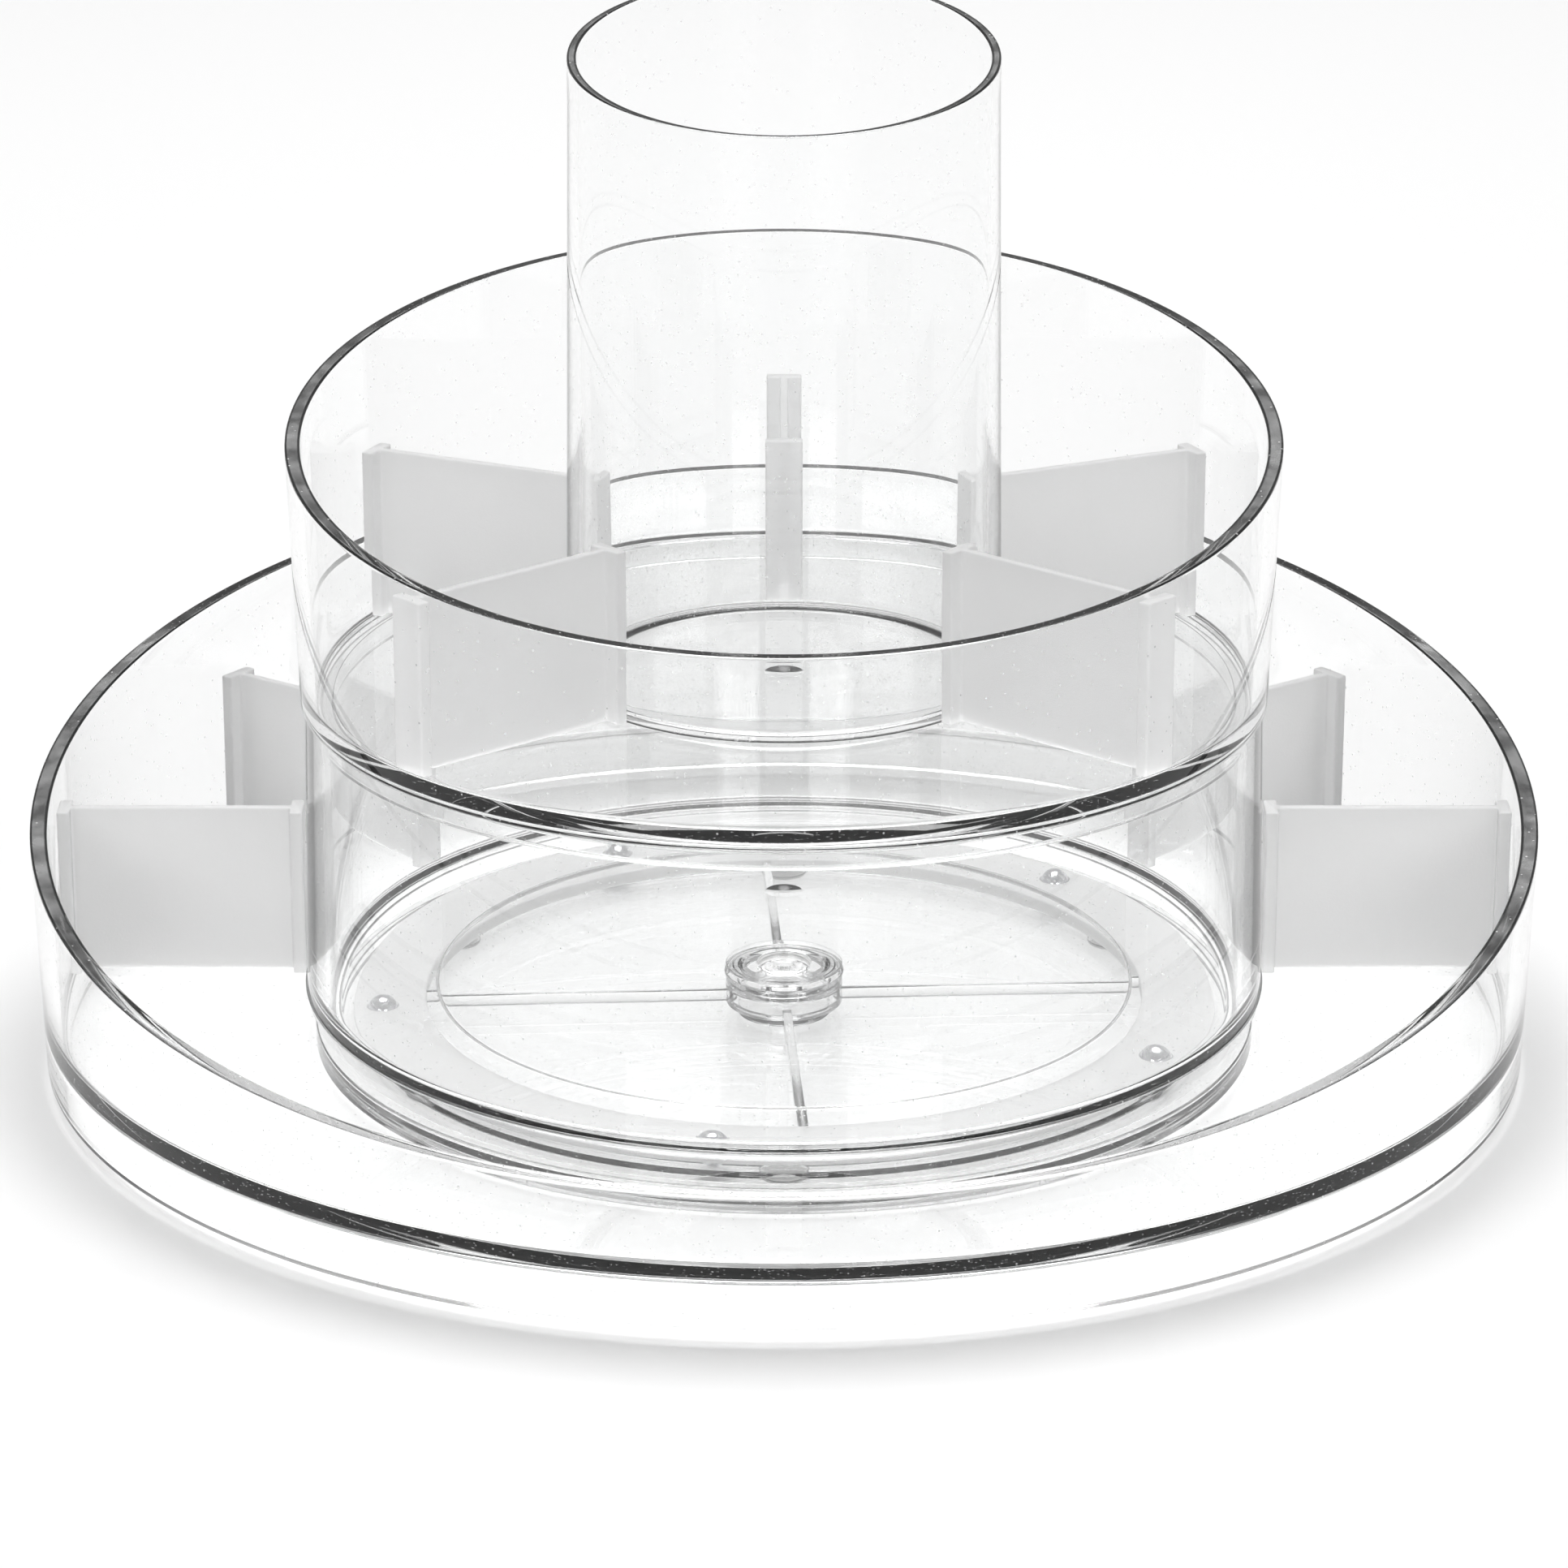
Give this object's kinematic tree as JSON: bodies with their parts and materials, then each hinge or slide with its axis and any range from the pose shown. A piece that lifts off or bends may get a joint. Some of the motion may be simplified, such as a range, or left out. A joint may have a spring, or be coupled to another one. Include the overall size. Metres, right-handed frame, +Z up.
{
  "type": "lazy susan turntable",
  "caption": "Clear round turntable of two stacked trays with slanted rims, a tall centre cup and lift-out frosted dividers, turning on a caged ball bearing over a still base.",
  "frame": {"origin": "on the table, on the turning axis, under the base plate's foot pads", "axes": "+Z up along the turning axis, -Y towards the low side of the slanted rims (the front), +X to the right seen from the front"},
  "size_m": [0.3, 0.2999, 0.2094],
  "materials": {
    "clear_acrylic": "polished, clear",
    "frosted_divider": "frosted, translucent",
    "cage_plastic": "frosted, translucent",
    "ball_steel": "polished",
    "pad_rubber": "soft, clear silicone"
  },
  "bodies": {
    "base": {"base_plate": "clear_acrylic", "hub_pin": "clear_acrylic", "foot_pad_1": "pad_rubber", "foot_pad_2": "pad_rubber", "foot_pad_3": "pad_rubber", "foot_pad_4": "pad_rubber", "foot_pad_5": "pad_rubber", "foot_pad_6": "pad_rubber"},
    "cage": {"ball_cage": "cage_plastic", "bearing_ball_1": "ball_steel", "bearing_ball_2": "ball_steel", "bearing_ball_3": "ball_steel", "bearing_ball_4": "ball_steel", "bearing_ball_5": "ball_steel"},
    "turntable": {"lower_tray": "clear_acrylic", "hub_cap": "clear_acrylic"},
    "top_tier": {"upper_tray": "clear_acrylic"},
    "lower_divider_1": {"lower_divider_1": "frosted_divider"},
    "lower_divider_2": {"lower_divider_2": "frosted_divider"},
    "lower_divider_3": {"lower_divider_3": "frosted_divider"},
    "lower_divider_4": {"lower_divider_4": "frosted_divider"},
    "upper_divider_1": {"upper_divider_1": "frosted_divider"},
    "upper_divider_2": {"upper_divider_2": "frosted_divider"},
    "upper_divider_3": {"upper_divider_3": "frosted_divider"},
    "upper_divider_4": {"upper_divider_4": "frosted_divider"},
    "upper_divider_5": {"upper_divider_5": "frosted_divider"}
  },
  "joints": [
    {"name": "turntable_spin", "type": "hinge", "parent": "base", "child": "turntable", "pos_m": [0, 0, 0.0155], "axis": [0, 0, 1], "continuous": true},
    {"name": "cage_spin", "type": "hinge", "parent": "base", "child": "cage", "pos_m": [0, 0, 0.0072], "axis": [0, 0, 1], "continuous": true},
    {"name": "top_tier_lift", "type": "slide", "parent": "turntable", "child": "top_tier", "axis": [0, 0, 1], "range_m": [0, 0.08]},
    {"name": "lower_divider_1_lift", "type": "slide", "parent": "turntable", "child": "lower_divider_1", "axis": [-0.0332, 0, 0.9994], "range_m": [0, 0.06]},
    {"name": "lower_divider_2_lift", "type": "slide", "parent": "turntable", "child": "lower_divider_2", "axis": [-0.0268, 0.0195, 0.9994], "range_m": [0, 0.06]},
    {"name": "lower_divider_3_lift", "type": "slide", "parent": "turntable", "child": "lower_divider_3", "axis": [0.0268, 0.0195, 0.9994], "range_m": [0, 0.06]},
    {"name": "lower_divider_4_lift", "type": "slide", "parent": "turntable", "child": "lower_divider_4", "axis": [0.0332, 0, 0.9994], "range_m": [0, 0.06]},
    {"name": "upper_divider_1_lift", "type": "slide", "parent": "top_tier", "child": "upper_divider_1", "axis": [0, 0, 1], "range_m": [0, 0.07]},
    {"name": "upper_divider_2_lift", "type": "slide", "parent": "top_tier", "child": "upper_divider_2", "axis": [0, 0, 1], "range_m": [0, 0.07]},
    {"name": "upper_divider_3_lift", "type": "slide", "parent": "top_tier", "child": "upper_divider_3", "axis": [0, 0, 1], "range_m": [0, 0.07]},
    {"name": "upper_divider_4_lift", "type": "slide", "parent": "top_tier", "child": "upper_divider_4", "axis": [0, 0, 1], "range_m": [0, 0.07]},
    {"name": "upper_divider_5_lift", "type": "slide", "parent": "top_tier", "child": "upper_divider_5", "axis": [0, 0, 1], "range_m": [0, 0.07]}
  ],
  "couplings": [
    {"joint": "cage_spin", "follows": "turntable_spin", "ratio": 0.5}
  ]
}
